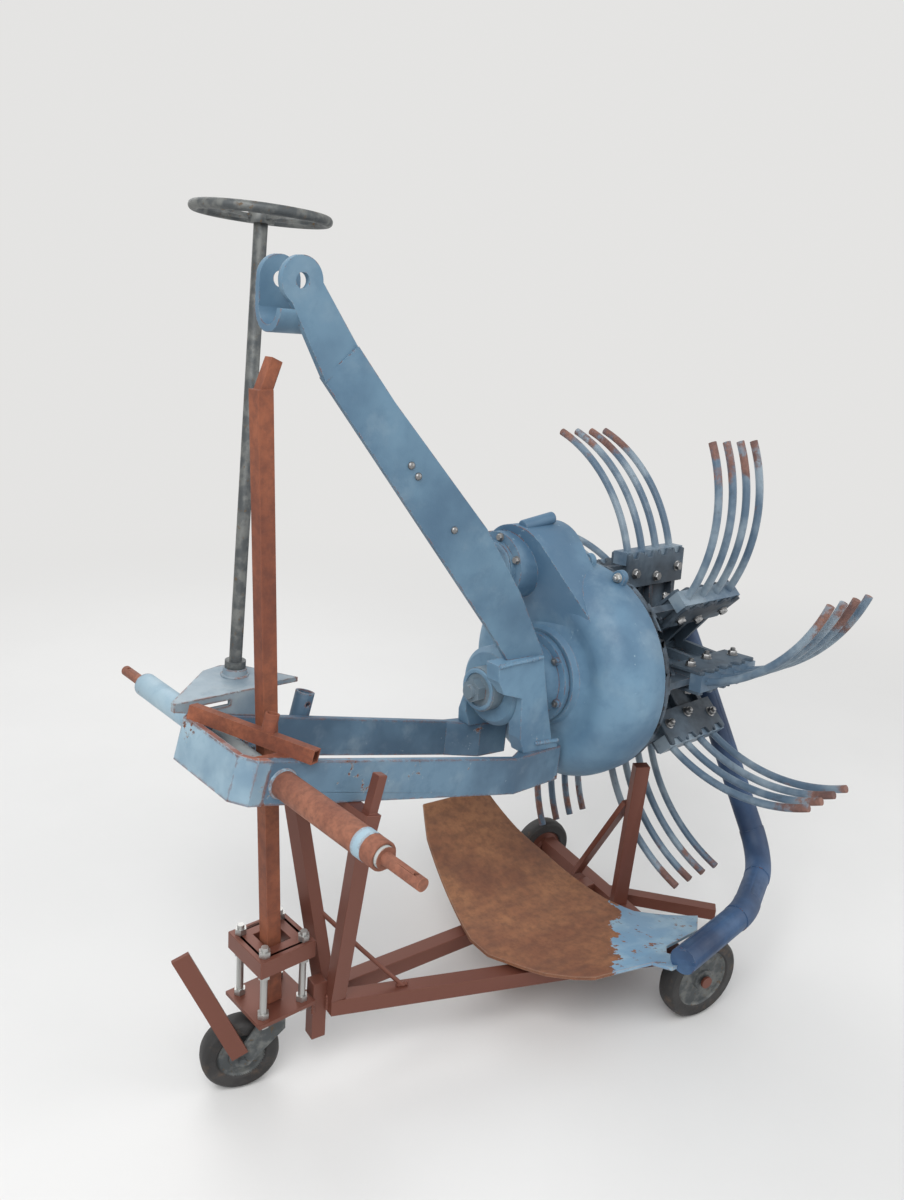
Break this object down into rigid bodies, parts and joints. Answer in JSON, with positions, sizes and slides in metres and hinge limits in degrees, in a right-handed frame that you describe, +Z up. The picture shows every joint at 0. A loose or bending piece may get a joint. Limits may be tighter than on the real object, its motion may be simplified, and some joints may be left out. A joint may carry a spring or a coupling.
{
  "type": "potato digger",
  "caption": "Tractor-mounted spinner potato digger: a wheel of curved tines behind a trough share, bent-plate arm up to a top-link clevis, depth hand wheel, parked on a small trolley",
  "frame": {"origin": "on the ground, below the middle of the whole machine's bounding box", "axes": "+X to the rear of the digger, +Y to its right-hand side, +Z up"},
  "size_m": [1.4963, 1.1202, 1.678],
  "materials": {
    "blue_paint": "weathered steel-blue enamel with pale chips and rusty edges",
    "pale_paint": "greyish white paint over rusted steel",
    "worn_iron": "grimy grey-blue cast iron",
    "tine_steel": "blue paint worn thin on spring steel, tips rusted",
    "dark_blue_paint": "deep blue enamel, little worn",
    "share_rust": "brown rust, blue paint left along one end",
    "red_primer": "dark red primer gone to rust",
    "zinc": "dull zinc plating",
    "bare_steel": "plain grey steel, lightly rusted",
    "tyre_rubber": "dull dusty black rubber"
  },
  "bodies": {
    "frame": {"hitch_block": "blue_paint", "near_rail": "blue_paint", "far_rail": "blue_paint", "cross_shaft": "pale_paint", "shaft_sleeve": "share_rust", "spindle_box": "blue_paint", "top_arm": "blue_paint", "gear_case": "blue_paint", "near_leg": "blue_paint", "far_leg": "blue_paint", "fixed_axle": "blue_paint", "gear_bell": "blue_paint", "share_arm": "dark_blue_paint", "share": "share_rust", "socket_tube": "blue_paint", "clamp_bar": "share_rust", "far_sleeve": "pale_paint", "mast": "red_primer", "collar_ring": "red_primer", "threaded_rods": "zinc", "caster_plate": "red_primer", "junction_post": "red_primer", "near_bar": "red_primer", "far_bar": "red_primer", "near_upright": "red_primer", "far_upright": "red_primer", "saddle_bar": "red_primer", "axle_beam": "red_primer", "rear_post": "red_primer", "tail_bar": "red_primer"},
    "spinner": {"spinner_hub": "worn_iron", "tines_1": "tine_steel", "tines_2": "tine_steel", "tines_3": "tine_steel", "tines_4": "tine_steel", "tines_5": "tine_steel", "tines_6": "tine_steel", "tines_7": "tine_steel", "tines_8": "tine_steel"},
    "caster": {"caster_fork": "bare_steel"},
    "front_wheel": {"front_wheel": "tyre_rubber"},
    "near_wheel": {"near_wheel": "tyre_rubber"},
    "far_wheel": {"far_wheel": "tyre_rubber"},
    "depth_wheel": {"wheel_spindle": "worn_iron", "hand_wheel": "worn_iron"}
  },
  "joints": [
    {"name": "spinner_turn", "type": "hinge", "parent": "frame", "child": "spinner", "pos_m": [-0.61015, 0, 0.748], "axis": [0.9998, 0, -0.0175], "continuous": true},
    {"name": "caster_swivel", "type": "hinge", "parent": "frame", "child": "caster", "pos_m": [-0.5505, -0.00904, 0.15], "axis": [0, 0, 1], "range_deg": [-95, 95]},
    {"name": "front_wheel_turn", "type": "hinge", "parent": "caster", "child": "front_wheel", "pos_m": [-0.60688, 0.01148, 0.078], "axis": [0.342, 0.9397, 0], "continuous": true},
    {"name": "near_wheel_turn", "type": "hinge", "parent": "frame", "child": "near_wheel", "pos_m": [0.33598, -0.42335, 0.1], "axis": [0.2207, 0.9753, 0], "continuous": true},
    {"name": "far_wheel_turn", "type": "hinge", "parent": "frame", "child": "far_wheel", "pos_m": [0.47833, 0.20575, 0.08], "axis": [0.2207, 0.9753, 0], "continuous": true},
    {"name": "depth_wheel_turn", "type": "hinge", "parent": "frame", "child": "depth_wheel", "pos_m": [-0.52799, 0.19, 0.75656], "axis": [0.0471, 0, 0.9989], "continuous": true}
  ]
}
